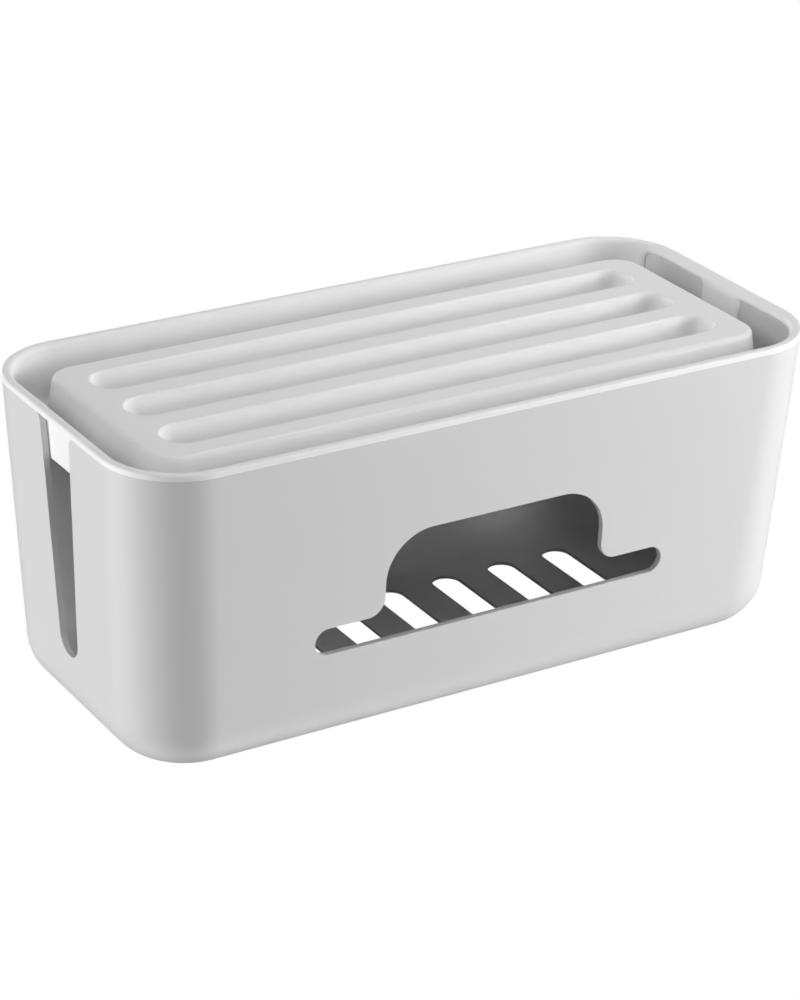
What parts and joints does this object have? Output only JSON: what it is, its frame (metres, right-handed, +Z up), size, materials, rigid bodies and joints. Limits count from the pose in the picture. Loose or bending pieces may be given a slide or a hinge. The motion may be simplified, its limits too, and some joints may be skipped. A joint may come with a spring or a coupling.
{
  "type": "cable management box",
  "caption": "Open plastic box with a shaped front opening, end slots and floor vents, and a lift-off lid with long grooves and cable openings, on rubber pads.",
  "frame": {"origin": "centre of the footprint, on the surface that the four pads stand on", "axes": "+X along the length, towards the right end; -Y towards the front with the large opening; +Z up, the way the lid lifts off"},
  "size_m": [0.32, 0.144, 0.135],
  "materials": {
    "box_plastic": "injection moulded, fine satin texture, light grey",
    "lid_plastic": "injection moulded, fine satin texture, off-white",
    "pad_rubber": "matte translucent grey"
  },
  "bodies": {
    "box": {"box_body": "box_plastic", "pad_front_left": "pad_rubber", "pad_front_right": "pad_rubber", "pad_back_left": "pad_rubber", "pad_back_right": "pad_rubber"},
    "lid": {"lid": "lid_plastic"}
  },
  "joints": [
    {"name": "lid_lift", "type": "slide", "parent": "box", "child": "lid", "axis": [0, 0, 1], "range_m": [0, 0.04]}
  ]
}
